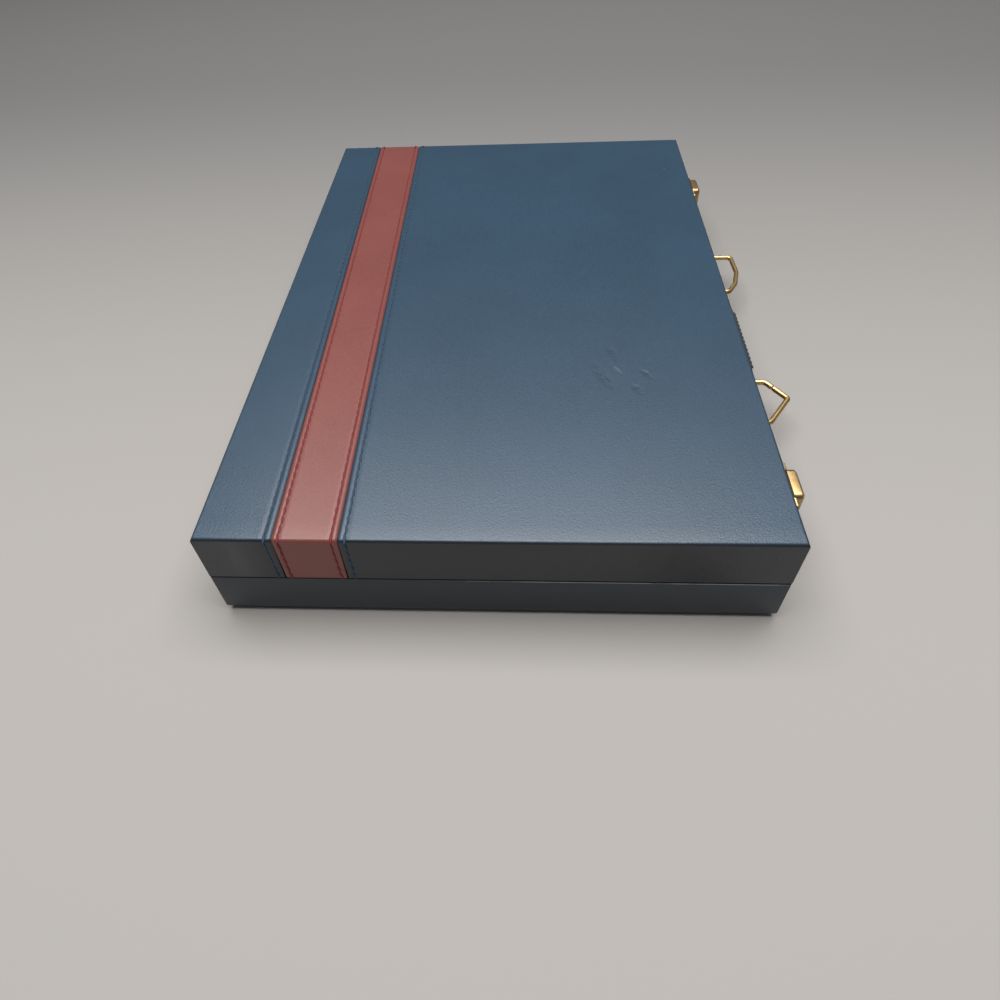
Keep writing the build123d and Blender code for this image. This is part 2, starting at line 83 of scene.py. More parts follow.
# Tolerance that tells a corner on a line from its neighbours
ON_LINE = 0.01

# Darker navy painted on the lid's walls as painted shade, since less light falls on them than on its top, and
# the heights where it turns to the top's navy
LID_WALL_SHADED_NAVY = "#262c35"
WALL_SHADE_TOP = (42.7, 42.97)

# Top of the base's front wall: heights where its pale line, a painted highlight of the rim, comes up and
# where the painted shade of the gap starts, how far back the front reaches, and where along X the pale line
# begins
RIM_HIGHLIGHT = (20.3, 20.7)
GAP_SHADE = (20.85, 21.0)
FRONT_WALL = (-149.5, -148.0)
RIM_HIGHLIGHT_FROM = (-30.0, 20.0)

# Marks in front of the handle: start, end and width
LID_DENTS = [
    ((36.5, -56.5), (46.2, -78.0), 6.5),
    ((43.8, -45.5), (48.2, -60.5), 4.5),
    ((54.6, -60.6), (61.0, -71.0), 3.6),
    ((52.0, -72.0), (56.2, -79.5), 5.0),
]
LID_SCUFF = ((45.0, -60.3), (49.9, -67.2), 2.0)

# Handle: corners of the wire rings as distance out of the wall, distance from the middle, and bend, and the
# butt joint of each wire as the stretch that it is on and its share of that stretch
WIRE_RADIUS = 1.2
WIRE_SIDES = 16
HANDLE_LEVEL = 14.0
NEAR_RING = [(2.9, 38.0, 3.0), (17.5, 38.0, 2.2), (24.9, 49.0, 1.5), (14.0, 64.3, 6.0), (2.9, 66.0, 4.0)]
FAR_RING = [
    (2.9, 33.6, 3.0), (15.3, 33.6, 2.0), (19.6, 40.5, 8.0),
    (22.3, 51.5, 12.0), (21.8, 66.0, 2.0), (2.9, 66.0, 4.0),
]
NEAR_WIRE_JOINT = (1, 0.35)
FAR_WIRE_JOINT = (4, 0.8)
WIRE_JOINT_GAP = 0.3
# Ends of the wire: share of its radius, and distance from the end
WIRE_END = [(0.55, 0.0), (0.88, 0.12), (1.0, 0.3)]

# Grip, and the seam on its shoulder: share of the half width out, height above the middle, and its stitches
GRIP_MIDDLE = CASE_HALF_WIDTH + 9.5
GRIP_HALF_WIDTH, GRIP_HALF_HEIGHT = 4.6, 4.4
GRIP_END_SHARE = 0.8
GRIP_TAPER_LENGTH = 13.0
GRIP_SIDES, GRIP_STEPS = 32, 36
GRIP_SEAM_SHARE, GRIP_SEAM_RISE = 0.88, 1.75
GRIP_SEAM_MARGIN, GRIP_SEAM_STEP = 6.0, 4.0
GRIP_STITCH = {"pitch": 3.0, "length": 2.4}

# Heads of rivets and nails
RIVET_RADIUS = 1.3
NAIL_RADIUS = 1.4
HEAD_HEIGHT = 0.55

# Loose pieces in the tray
TRAY_X = 76.6
CHECKER_RADIUS = 11.0
CHECKER_THICKNESS = 5.0
CHECKER_PITCH = 5.1
CHECKER_COUNT = 15
CHECKER_ROW_START = 142.5
CHECKER_Z = 16.2
CUP_RADIUS = 15.0
CUP_WAIST = 0.8
CUP_BORE = 12.6
CUP_BOTTOM = 2.0
CUP_Z = 20.2
CUP_SEAM_MARGIN = 5.2
CUP_SEAM_SINK = 0.82
CUP_STITCH = {"pitch": 3.4, "length": 2.7}
DIE_EDGE_ROUND = 1.1
PIP_RADIUS = 0.85
PIP_SPREAD = 0.25
PIP_PROUD = 0.01
CUBE_EDGE_ROUND = 1.4
NUMERAL_SHARE = 0.52


# Materials: one function adds any node, and each finish has its own function
NOISE, CELLS, RANGE = "ShaderNodeTexNoise", "ShaderNodeTexVoronoi", "ShaderNodeMapRange"
MIX, MATH, VECTORS, BUMP, AXES = (
    "ShaderNodeMix", "ShaderNodeMath", "ShaderNodeVectorMath", "ShaderNodeBump", "ShaderNodeSeparateXYZ"
)
SOFT = {"interpolation_type": "SMOOTHSTEP"}
COLOURS = {"data_type": "RGBA"}
TIMES = {"operation": "MULTIPLY"}
PLUS = {"operation": "ADD"}


def linear(code):
    """sRGB hex colour as linear RGBA."""
    values = [int(code[i:i + 2], 16) / 255 for i in (1, 3, 5)]
    return (*[v / 12.92 if v <= 0.04045 else ((v + 0.055) / 1.055) ** 2.4 for v in values], 1.0)


def add(tree, kind, inputs=None, **settings):
    """Add a node with its settings. An input is a constant, a socket, or a node for its first live output."""
    node = tree.nodes.new(kind)
    for name, value in settings.items():
        setattr(node, name, value)
    for key, value in (inputs or {}).items():
        if isinstance(key, int):
            live = node.inputs[key]
        else:
            live = next(s for s in node.inputs if s.enabled and s.name == key)
        if isinstance(value, bpy.types.Node):
            value = next(s for s in value.outputs if s.enabled)
        if isinstance(value, bpy.types.NodeSocket):
            tree.links.new(value, live)
        else:
            live.default_value = value
    return node


def new_material(name):
    """Empty node material: the material, its tree, and the place on the piece."""
    material = bpy.data.materials.new(name)
    material.use_nodes = True
    material.node_tree.nodes.clear()
    return material, material.node_tree, add(material.node_tree, "ShaderNodeTexCoord").outputs["Object"]


def coated(material, inputs):
    """Material closed by its shader, whose constants are on its own sockets."""
    shader = add(material.node_tree, "ShaderNodeBsdfPrincipled", inputs)
    add(material.node_tree, "ShaderNodeOutputMaterial", {"Surface": shader})
    return material


# A pattern's scale is 1000 over its size in millimetres
def leather_grain(tree, place, deep, plain, worn, grain_mm, roughness):
    """Colour, roughness and height of coated cloth with an embossed pebble grain, paler where rubbed."""
    low, high = roughness
    pebbles = add(tree, CELLS, {"Vector": place, "Scale": 1000 / grain_mm}, feature="SMOOTH_F1")
    fine = add(tree, NOISE, {"Vector": place, "Scale": 1000 / (grain_mm * 0.6), "Detail": 3.0})
    clouds = add(tree, NOISE, {"Vector": place, "Scale": 1000 / 46, "Detail": 2.0, "Distortion": 0.3})
    rubs = add(tree, NOISE, {"Vector": place, "Scale": 1000 / 9, "Detail": 5.0, "Distortion": 1.2})
    cloudy = {"Value": clouds, "From Min": 0.3, "From Max": 0.7, "To Min": 0.25, "To Max": 0.8}
    cloudy = add(tree, RANGE, cloudy, **SOFT)
    grainy = add(tree, RANGE, {"Value": fine, "From Min": 0.35, "From Max": 0.75, "To Max": 0.25}, **SOFT)
    rubbed = add(tree, RANGE, {"Value": rubs, "From Min": 0.62, "From Max": 0.82, "To Max": 0.14}, **SOFT)
    colour = add(tree, MIX, {"Factor": cloudy, "A": linear(deep), "B": linear(plain)}, **COLOURS)
    for share in (grainy, rubbed):
        colour = add(tree, MIX, {"Factor": share, "A": colour, "B": linear(worn)}, **COLOURS)
    rough = {"Value": fine, "From Min": 0.3, "From Max": 0.7, "To Min": low, "To Max": high}
    rough = add(tree, RANGE, rough, **SOFT)
    height = add(tree, MATH, {0: pebbles, 1: add(tree, MATH, {0: fine, 1: 0.5}, **TIMES)}, **PLUS)
    return colour, rough, height


def leatherette(name, deep, plain, worn, grain_mm=0.5, roughness=(0.31, 0.41), relief_mm=0.03):
    """PVC-coated cloth pressed with a fine pebble grain: satin, a little cloudy, with a broken highlight."""
    # The real grain is about 0.4 mm, and is drawn a little coarser so that it shows at this distance
    material, tree, place = new_material(name)
    colour, rough, height = leather_grain(tree, place, deep, plain, worn, grain_mm, roughness)
    grain = add(tree, BUMP, {"Height": height, "Distance": relief_mm * MM})
    return coated(material, {"Base Color": colour, "Roughness": rough, "Normal": grain})


def rubbed_mark(tree, place, start, end, width):
    """Share of a soft mark from start to end on the lid, in millimetres: 1 along its middle, 0 outside it."""
    start, end = Vector(start), Vector(end)
    middle, along = (start + end) / 2, end - start
    centre = (middle.x * MM, middle.y * MM, CASE_TOP * MM)
    turn = (0.0, 0.0, math.atan2(along.y, along.x))
    laid = {"Vector": place, "Location": centre, "Rotation": turn}
    laid = add(tree, "ShaderNodeMapping", laid, vector_type="TEXTURE")
    half_size = (along.length / 2 * MM, width / 2 * MM, 1.0)
    spread = add(tree, VECTORS, {0: laid, 1: half_size}, operation="DIVIDE")
    reach = add(tree, VECTORS, {0: spread}, operation="LENGTH")
    fading = {"Value": reach, "From Min": 0.15, "From Max": 1.0, "To Min": 1.0, "To Max": 0.0}
    return add(tree, RANGE, fading, **SOFT)


def lid_navy_material():
    """Navy leatherette of the lid: darker walls and dents as painted shade, a scuff and pale specks."""
    material, tree, place = new_material("navy_embossed_leatherette")
    colour, rough, height = leather_grain(tree, place, "#27455a", "#2d4c65", "#4f6b82", 0.55, (0.31, 0.41))
    up = add(tree, AXES, {"Vector": place}).outputs["Z"]
    walls, unshaded = WALL_SHADE_TOP
    top = add(tree, RANGE, {"Value": up, "From Min": walls * MM, "From Max": unshaded * MM}, **SOFT)
    # The walls and the rounding under the top take the darker navy as painted shade
    colour = add(tree, MIX, {"Factor": top, "A": linear(LID_WALL_SHADED_NAVY), "B": colour}, **COLOURS)
    dents = rubbed_mark(tree, place, *LID_DENTS[0])
    for mark in LID_DENTS[1:]:
        dents = add(tree, MATH, {0: dents, 1: rubbed_mark(tree, place, *mark)}, operation="MAXIMUM")
    broken = add(tree, NOISE, {"Vector": place, "Scale": 1000 / 5, "Detail": 2.0, "Distortion": 0.5})
    broken = add(tree, RANGE, {"Value": broken, "From Min": 0.3, "From Max": 0.6, "To Min": 0.25}, **SOFT)
    dents = add(tree, MATH, {0: dents, 1: broken}, **TIMES)
    # The dents are darkened as painted shade in their hollows
    shade = add(tree, MATH, {0: dents, 1: 0.3}, **TIMES)
    scuff = add(tree, MATH, {0: rubbed_mark(tree, place, *LID_SCUFF), 1: 0.22}, **TIMES)
    lint = add(tree, CELLS, {"Vector": place, "Scale": 1000 / 27})
    specks = {"Value": lint, "From Min": 0.007, "From Max": 0.013, "To Min": 1.0, "To Max": 0.0}
    specks = add(tree, RANGE, specks, **SOFT)
    for share, code in ((shade, "#1c303f"), (scuff, "#8fa3b4"), (specks, "#c9d2d8")):
        colour = add(tree, MIX, {"Factor": share, "A": colour, "B": linear(code)}, **COLOURS)
    # The dents and a slow unevenness of the board lie under the grain
    slow = add(tree, NOISE, {"Vector": place, "Scale": 1000 / 70, "Detail": 1.0})
    slow = add(tree, MATH, {0: slow, 1: add(tree, MATH, {0: dents, 1: -0.75}, **TIMES)}, **PLUS)
    board = add(tree, BUMP, {"Height": slow, "Distance": 0.15 * MM})
    grain = add(tree, BUMP, {"Height": height, "Distance": 0.04 * MM, "Normal": board})
    return coated(material, {"Base Color": colour, "Roughness": rough, "Normal": grain})


def base_navy_material():
    """Navy leatherette of the base: dark as painted shade, darker in the gap, with a pale painted highlight
    under it.
    """
    material, tree, place = new_material("navy_leatherette_base")
    colour, rough, height = leather_grain(tree, place, "#1b2833", "#202c38", "#33424f", 0.5, (0.31, 0.41))
    axes = add(tree, AXES, {"Vector": place}).outputs
    shares = []
    for axis, (start, end), low, high in (
        ("Z", GAP_SHADE, 0.0, 1.0), ("Z", RIM_HIGHLIGHT, 0.0, 0.7),
        ("Y", FRONT_WALL, 1.0, 0.0), ("X", RIM_HIGHLIGHT_FROM, 0.0, 1.0),
    ):
        reach = {"Value": axes[axis], "From Min": start * MM, "From Max": end * MM}
        shares.append(add(tree, RANGE, {**reach, "To Min": low, "To Max": high}, **SOFT))
    shaded_gap, rubbed, front, side = shares
    broken = add(tree, NOISE, {"Vector": place, "Scale": 1000 / 7, "Detail": 3.0})
    broken = add(tree, RANGE, {"Value": broken, "From Min": 0.3, "From Max": 0.55, "To Min": 0.25}, **SOFT)
    # The pale line is a painted highlight of the rim catching light, kept to the front wall and its right
    # part, and broken up
    for share in (front, side, broken):
        rubbed = add(tree, MATH, {0: rubbed, 1: share}, **TIMES)
    # Pale painted highlight of the rim, then near-black painted shade in the gap under the lid
    for share, code in ((rubbed, "#a9b0b8"), (shaded_gap, "#0c0f13")):
        colour = add(tree, MIX, {"Factor": share, "A": colour, "B": linear(code)}, **COLOURS)
    grain = add(tree, BUMP, {"Height": height, "Distance": 0.03 * MM})
    return coated(material, {"Base Color": colour, "Roughness": rough, "Normal": grain})


def brass_material(name, bright, deep, roughness):
    """Lacquered brass: warm and bright, with brown tarnish in patches and fine rubbing marks."""
    material, tree, place = new_material(name)
    patches = add(tree, NOISE, {"Vector": place, "Scale": 1000 / 8, "Detail": 4.0, "Distortion": 0.5})
    patches = add(tree, RANGE, {"Value": patches, "From Min": 0.36, "From Max": 0.78, "To Max": 0.85}, **SOFT)
    rubbing = add(tree, NOISE, {"Vector": place, "Scale": 1000 / 0.35, "Detail": 2.0})
    colour = add(tree, MIX, {"Factor": patches, "A": linear(bright), "B": linear(deep)}, **COLOURS)
    dull = {"Value": patches, "From Max": 0.85, "To Min": roughness, "To Max": roughness + 0.14}
    dull = add(tree, RANGE, dull, **SOFT)
    rough = add(tree, MATH, {0: dull, 1: add(tree, MATH, {0: rubbing, 1: 0.08}, **TIMES)}, **PLUS)
    marks = add(tree, BUMP, {"Height": rubbing, "Distance": 0.01 * MM})
    return coated(material, {"Base Color": colour, "Roughness": rough, "Normal": marks, "Metallic": 1.0})


def wood_material(name, pale, dark, ring_mm):
    """Sawn softwood or its veneer: straight grain along the length, matt."""
    material, tree, place = new_material(name)
    drawn_out = add(tree, VECTORS, {0: place, 1: (1.0, 0.08, 1.0)}, **TIMES)
    rings = add(tree, NOISE, {"Vector": drawn_out, "Scale": 1000 / ring_mm, "Detail": 4.0, "Distortion": 0.8})
    fibres = add(tree, NOISE, {"Vector": drawn_out, "Scale": 1000 / 0.5, "Detail": 3.0})
    share = add(tree, RANGE, {"Value": rings, "From Min": 0.35, "From Max": 0.65}, **SOFT)
    colour = add(tree, MIX, {"Factor": share, "A": linear(pale), "B": linear(dark)}, **COLOURS)
    streaks = add(tree, MATH, {0: fibres, 1: 0.25}, **TIMES)
    colour = add(tree, MIX, {"Factor": streaks, "A": colour, "B": linear(dark)}, **COLOURS)
    grain = add(tree, BUMP, {"Height": fibres, "Distance": 0.05 * MM})
    return coated(material, {"Base Color": colour, "Roughness": 0.72, "Normal": grain})


def felt_material(name, deep, plain):
    """Pressed wool felt: no gloss, a fine tangle of fibres with a soft sheen."""
    material, tree, place = new_material(name)
    tangle = add(tree, NOISE, {"Vector": place, "Scale": 1000 / 0.7, "Detail": 5.0, "Distortion": 2.5})
    clumps = add(tree, NOISE, {"Vector": place, "Scale": 1000 / 5, "Detail": 3.0})
    share = add(tree, MIX, {"Factor": 0.3, "A": tangle, "B": clumps}, data_type="FLOAT")
    share = add(tree, RANGE, {"Value": share, "From Min": 0.35, "From Max": 0.65}, **SOFT)
    colour = add(tree, MIX, {"Factor": share, "A": linear(deep), "B": linear(plain)}, **COLOURS)
    fibres = add(tree, BUMP, {"Height": tangle, "Distance": 0.15 * MM})
    sheen = {"Sheen Weight": 0.35, "Sheen Roughness": 0.5}
    return coated(material, {"Base Color": colour, "Roughness": 0.95, "Normal": fibres, **sheen})


def resin_material(name, deep, plain, swirl_mm):
    """Cast resin with a marbled swirl, polished, slightly soft in its highlights."""
    material, tree, place = new_material(name)
    swirl = add(tree, NOISE, {"Vector": place, "Scale": 1000 / swirl_mm, "Detail": 4.0, "Distortion": 3.0})
    share = add(tree, RANGE, {"Value": swirl, "From Min": 0.38, "From Max": 0.66}, **SOFT)
    colour = add(tree, MIX, {"Factor": share, "A": linear(deep), "B": linear(plain)}, **COLOURS)
    ripple = add(tree, NOISE, {"Vector": place, "Scale": 1000 / 1.5})
    ripple = add(tree, BUMP, {"Height": ripple, "Distance": 0.01 * MM})
    polish = {"Coat Weight": 0.3, "Coat Roughness": 0.12}
    return coated(material, {"Base Color": colour, "Roughness": 0.24, "Normal": ripple, **polish})


def thread_material(name, deep, plain):
    """Twisted polyester sewing thread: two plies, with light catching the twist."""
    material, tree, place = new_material(name)
    # The plies are about 0.2 mm, drawn at 0.35 mm so that they show
    plies = add(tree, NOISE, {"Vector": place, "Scale": 1000 / 0.35})
    share = add(tree, RANGE, {"Value": plies, "From Min": 0.35, "From Max": 0.65}, **SOFT)
    colour = add(tree, MIX, {"Factor": share, "A": linear(deep), "B": linear(plain)}, **COLOURS)
    twist = add(tree, BUMP, {"Height": plies, "Distance": 0.06 * MM})
    return coated(material, {"Base Color": colour, "Roughness": 0.65, "Normal": twist, "Sheen Weight": 0.1})


def paint_material(name, code):
    """Filled numeral or pip, or the painted shade of a needle hole: smooth matt paint with a little
    unevenness.
    """
    material, tree, place = new_material(name)
    uneven = add(tree, NOISE, {"Vector": place, "Scale": 1000 / 0.6})
    share = add(tree, MATH, {0: uneven, 1: 0.2}, **TIMES)
    colour = add(tree, MIX, {"Factor": share, "A": linear(code), "B": linear("#6b6660")}, **COLOURS)
    return coated(material, {"Base Color": colour, "Roughness": 0.5})


navy = lid_navy_material()
navy_base = base_navy_material()
maroon = leatherette("maroon_embossed_leatherette", "#83443f", "#8e4b45", "#b07a70")
tan = leatherette("tan_embossed_leatherette", "#a88a5f", "#b39467", "#c8ad84", 0.9, (0.5, 0.62))
point_maroon = leatherette("maroon_point_leatherette", "#6f2b2c", "#7c3233", "#9a5852", 0.9, (0.5, 0.62))
point_navy = leatherette("navy_point_leatherette", "#1d3043", "#24394d", "#45596b", 0.9, (0.5, 0.62))
cup_leather = leatherette("navy_cup_leather", "#1c2c3d", "#243648", "#4a5d70", 1.1, (0.38, 0.5), 0.08)
handle_leather = leatherette("navy_handle_leather", "#111922", "#18222d", "#37434f", 1.0, (0.42, 0.54), 0.08)
brass = brass_material("lacquered_brass_pressed", "#b39b6e", "#6f5730", 0.33)
wire_brass = brass_material("brass_wire_drawn", "#d8bb84", "#6b5330", 0.3)
pine = wood_material("pine_sawn", "#c9a878", "#a67f4c", 3.0)
plywood = wood_material("plywood_veneer", "#c2a67c", "#a3814f", 5.0)
black_felt = felt_material("black_wool_felt", "#0f1013", "#24262b")
navy_felt = felt_material("navy_wool_felt", "#121c2c", "#22304a")
ivory_resin = resin_material("ivory_cast_resin", "#d8caa8", "#e9dfc6", 9.0)
maroon_resin = resin_material("maroon_cast_resin", "#4e0f16", "#7a1d24", 7.0)
red_thread = thread_material("red_polyester_thread", "#6c0913", "#94131f")
blue_thread = thread_material("blue_polyester_thread", "#0b3048", "#12476b")
dark_thread = thread_material("navy_polyester_thread", "#101820", "#2a3a4a")
needle_dark = paint_material("needle_hole_shadow", "#0b0d10")
black_paint = paint_material("black_pip_paint", "#141312")
ivory_paint = paint_material("ivory_pip_paint", "#e6dcc4")


# Finished pieces
def finish(name, mesh, body, materials, nodes=(), angle=35.0):
    """Make a mesh a named piece that rides on a body and stands for these nodes."""
    mesh.name = name
    for material in materials:
        mesh.materials.append(material)
    mesh.polygons.foreach_set("use_smooth", [True] * len(mesh.polygons))
    mesh.set_sharp_from_angle(angle=math.radians(angle))
    piece = bpy.data.objects.new(name, mesh)
    bpy.context.scene.collection.objects.link(piece)
    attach(piece, body)
    if nodes:
        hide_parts(*nodes)
    return piece


def mesh_from(build):
    """New mesh from a bmesh, which is freed."""
    mesh = bpy.data.meshes.new("piece")
    build.to_mesh(mesh)
    build.free()
    return mesh


def node_copy(node):
    """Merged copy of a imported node's mesh, in millimetres, with its flat faces whole."""
    build = bmesh.new()
    build.from_mesh(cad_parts[node].data)
    bmesh.ops.scale(build, vec=(1000, 1000, 1000), verts=build.verts)
    bmesh.ops.remove_doubles(build, verts=build.verts, dist=0.001)
    bmesh.ops.dissolve_limit(build, angle_limit=math.radians(0.3), verts=build.verts, edges=build.edges)
    return build


def in_metres(build):
    """New mesh in metres from a bmesh in millimetres."""
    bmesh.ops.scale(build, vec=(MM, MM, MM), verts=build.verts)
    return mesh_from(build)


def plain_mesh(source):
    """Plain mesh of an object with its modifiers applied; the object is removed."""
    graph = bpy.context.evaluated_depsgraph_get()
    mesh = bpy.data.meshes.new_from_object(source.evaluated_get(graph))
    bpy.data.objects.remove(source)
    return mesh


def temporary(mesh):
    """Object outside the finished set that carries modifiers for a while."""
    source = bpy.data.objects.new("workpiece", mesh)
    bpy.context.scene.collection.objects.link(source)
    return source


def softened(node, name, body, material, width, segments=2, angle=40.0):
    """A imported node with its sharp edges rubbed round."""
    source = temporary(in_metres(node_copy(node)))
    bevel = source.modifiers.new("edges", "BEVEL")
    bevel.width = width * MM
    bevel.segments = segments
    bevel.limit_method = "ANGLE"
    bevel.angle_limit = math.radians(angle)
    bevel.use_clamp_overlap = True
    bevel.miter_outer = "MITER_ARC"
    return finish(name, plain_mesh(source), body, [material], [node])


def circle(count):
    """Cosine and sine of equal turns around a circle."""
    turns = [2 * math.pi * index / count for index in range(count)]
    return [(math.cos(turn), math.sin(turn)) for turn in turns]


def skinned(rings):
    """Closed skin in metres over rings of points in millimetres, each with the same number of corners."""
    build = bmesh.new()
    rings = [[build.verts.new(point) for point in ring] for ring in rings]
    for first, second in zip(rings, rings[1:]):
        for side in range(len(first)):
            following = (side + 1) % len(first)
            build.faces.new((first[side], first[following], second[following], second[side]))
    build.faces.new(rings[0][::-1])
    build.faces.new(rings[-1])
    bmesh.ops.recalc_face_normals(build, faces=build.faces)
    return in_metres(build)


# Lid leather, with the folded and sewn edges of its three pieces
def band_line(line, y):
    """X of one edge of the band at y."""
    share = (y + CASE_HALF_LENGTH) / (2 * CASE_HALF_LENGTH)
    return -CASE_HALF_WIDTH + line[0] + (line[1] - line[0]) * share


def line_frame(line):
    """Point on one edge of the band, and the direction square to it."""
    start = Vector((band_line(line, -CASE_HALF_LENGTH), -CASE_HALF_LENGTH, 0))
    end = Vector((band_line(line, CASE_HALF_LENGTH), CASE_HALF_LENGTH, 0))
    along = (end - start).normalized()
    return start, Vector((along.y, -along.x, 0))


def wall_height(point):
    """Height of a point above the lid's outer surface over its length, and the surface's normal there."""
    out = abs(point.y) - (CASE_HALF_LENGTH - LID_EDGE_ROUND)
    up = point.z - (CASE_TOP - LID_EDGE_ROUND)
    side = math.copysign(1, point.y)
    if out > 0 and up > 0:
        reach = math.hypot(out, up)
        return reach - LID_EDGE_ROUND, Vector((0, side * out / reach, up / reach))
    if out > up:
        return out - LID_EDGE_ROUND, Vector((0, side, 0))
    return up - LID_EDGE_ROUND, Vector((0, 0, 1))


def fold_height(fold, distance):
    """Height of the folded edge at a distance from the middle of the groove."""
    for (start, low), (end, high) in zip(fold, fold[1:]):
        if distance <= end:
            return low + (high - low) * max(0.0, (distance - start) / (end - start))
    return 0.0


def cut(build, place, square):
    """Cut the faces of a bmesh along the plane through a place, square to a direction."""
    parts = build.verts[:] + build.edges[:] + build.faces[:]
    bmesh.ops.bisect_plane(build, geom=parts, plane_co=place, plane_no=square)


def lid_leather(node, name, lines, fold, material):
    """One piece of the lid's leather: its sides of these band lines are cut into strips, and folded over."""
    build = node_copy(node)
    edges = [(*line_frame(line), side) for line, side in lines]
    groove = fold[0][0]
    for start, square, side in edges:
        for distance, _ in fold[1:]:
            cut(build, start + square * side * distance, square)
    for index in range(1, int(2 * CASE_HALF_LENGTH / FOLD_STEP)):
        cut(build, (0, -CASE_HALF_LENGTH + index * FOLD_STEP, 0), (0, 1, 0))
    moves = []
    for vert in build.verts:
        height, normal = wall_height(vert.co)
        for start, square, side in edges:
            distance = (vert.co - start).dot(square) * side
            if distance > fold[-1][0] or vert.co.z < LID_BOTTOM + ON_LINE:
                continue
            at_groove = distance < groove + ON_LINE
            if height > -0.05:
                # The two edges at the groove are drawn together to its real width
                close = groove - GROOVE_HALF if at_groove else 0.0
                short, long = (math.sin(vert.co.y * FOLD_WAVES[i] + (i + 1) * side) for i in range(2))
                wave = 1 + FOLD_UNEVENNESS * short * long
                lift = normal * fold_height(fold, distance) * (wave if distance > 0.4 else 1)
                moves.append((vert, lift - square * side * close))
            elif at_groove:
                moves.append((vert, -square * side * groove))
    for vert, move in moves:
        vert.co += move
    return finish(name, in_metres(build), "lid", [material], [node], 50.0)


lid_leather("lid_cover_left", "hinge_side_leather", [(BAND_START, -1)], NAVY_FOLD, navy)
lid_leather("lid_cover_right", "latch_side_leather", [(BAND_END, 1)], NAVY_FOLD, navy)
band_lines = [(BAND_START, 1), (BAND_END, -1)]
lid_leather("lid_band", "maroon_band", band_lines, BAND_FOLD, maroon)
softened("base_cover", "base_leather", "base", navy_base, 0.25)


# Geometry Nodes: a row of stitches along a path, and domed heads on points
def new_group(name, sockets):
    """Geometry node tree with a geometry input and output and named inputs."""
    tree = bpy.data.node_groups.new(name, "GeometryNodeTree")
    tree.interface.new_socket("Geometry", in_out="INPUT", socket_type="NodeSocketGeometry")
    for label, kind in sockets:
        tree.interface.new_socket(label, in_out="INPUT", socket_type=kind)
    tree.interface.new_socket("Geometry", in_out="OUTPUT", socket_type="NodeSocketGeometry")
    return tree, add(tree, "NodeGroupInput").outputs


def run_group(tree, mesh, values):
    """Plain mesh that a geometry node tree makes of a mesh with these inputs."""
    source = temporary(mesh)
    modifier = source.modifiers.new("grown", "NODES")
    modifier.node_group = tree
    for item in tree.interface.items_tree:
        if item.item_type == "SOCKET" and item.in_out == "INPUT" and item.name in values:
            modifier[item.identifier] = values[item.name]
    grown = plain_mesh(source)
    for index in reversed(range(len(grown.materials))):
        if grown.materials[index] is None:
            grown.materials.pop(index=index)
    return grown


def stitch_group():
    """Stitches end to end along a path whose points carry the surface's normal, with painted shade for the
    needle holes.
    """
    tree, given = new_group(
        "sewn_row",
        [
            ("Pitch", "NodeSocketFloat"), ("Length", "NodeSocketFloat"), ("Width", "NodeSocketFloat"),
            ("Slant", "NodeSocketFloat"), ("Thread", "NodeSocketMaterial"), ("Hole", "NodeSocketMaterial"),
        ],
    )
    curve = add(tree, "GeometryNodeMeshToCurve", {"Mesh": given["Geometry"]})
    points = add(tree, "GeometryNodeResampleCurve", {"Curve": curve, "Length": given["Pitch"]}, mode="LENGTH")
    carried = {"Name": "surface_normal"}
    normal = add(tree, "GeometryNodeInputNamedAttribute", carried, data_type="FLOAT_VECTOR")
    facing = add(
        tree, "FunctionNodeAxesToRotation",
        {"Primary Axis": normal, "Secondary Axis": add(tree, "GeometryNodeInputTangent")},
        primary_axis="Z", secondary_axis="X",
    )
    # Every stitch lies at a slight slant of its own to the line
    uneven = add(tree, "FunctionNodeRandomValue", {"Min": 0.6, "Max": 1.4, "Seed": 7}, data_type="FLOAT")
    slant = add(tree, "ShaderNodeCombineXYZ", {"Z": add(tree, MATH, {0: given["Slant"], 1: uneven}, **TIMES)})
    laid = {"Rotation": facing, "Rotate By": add(tree, "FunctionNodeEulerToRotation", {"Euler": slant})}
    laid = add(tree, "FunctionNodeRotateRotation", laid, rotation_space="LOCAL")
    row = add(tree, "GeometryNodeJoinGeometry")
    # A thread as long as its stitch, and a dark bead of painted shade for a hole half way to the next one,
    # sunk in the
    # leather: shares of its length and width, then the share of the pitch that it is ahead, and of the width
    # that it is up
    for look, long_way, shares, ahead, raised in (
        ("Thread", "Length", (1.0, 1.0, 0.8), 0.0, 0.0),
        ("Hole", "Width", (0.6, 0.6, 0.3), 0.5, -0.12),
    ):
        ball = add(tree, "GeometryNodeMeshUVSphere", {"Segments": 8, "Rings": 6, "Radius": 0.5})
        sizes = {
            axis: add(tree, MATH, {0: given[long_way if axis == "X" else "Width"], 1: share}, **TIMES)
            for axis, share in zip("XYZ", shares)
        }
        away = {
            "X": add(tree, MATH, {0: given["Pitch"], 1: ahead}, **TIMES),
            "Z": add(tree, MATH, {0: given["Width"], 1: raised}, **TIMES),
        }
        size = add(tree, "ShaderNodeCombineXYZ", sizes)
        place = add(tree, "ShaderNodeCombineXYZ", away)
        formed = add(tree, "GeometryNodeTransform", {"Geometry": ball, "Translation": place, "Scale": size})
        put = {"Points": points, "Instance": formed, "Rotation": laid}
        put = add(tree, "GeometryNodeInstanceOnPoints", put)
        real = add(tree, "GeometryNodeRealizeInstances", {"Geometry": put})
        painted = add(tree, "GeometryNodeSetMaterial", {"Geometry": real, "Material": given[look]})
        tree.links.new(painted.outputs["Geometry"], row.inputs["Geometry"])
    add(tree, "NodeGroupOutput", {"Geometry": row})
    return tree


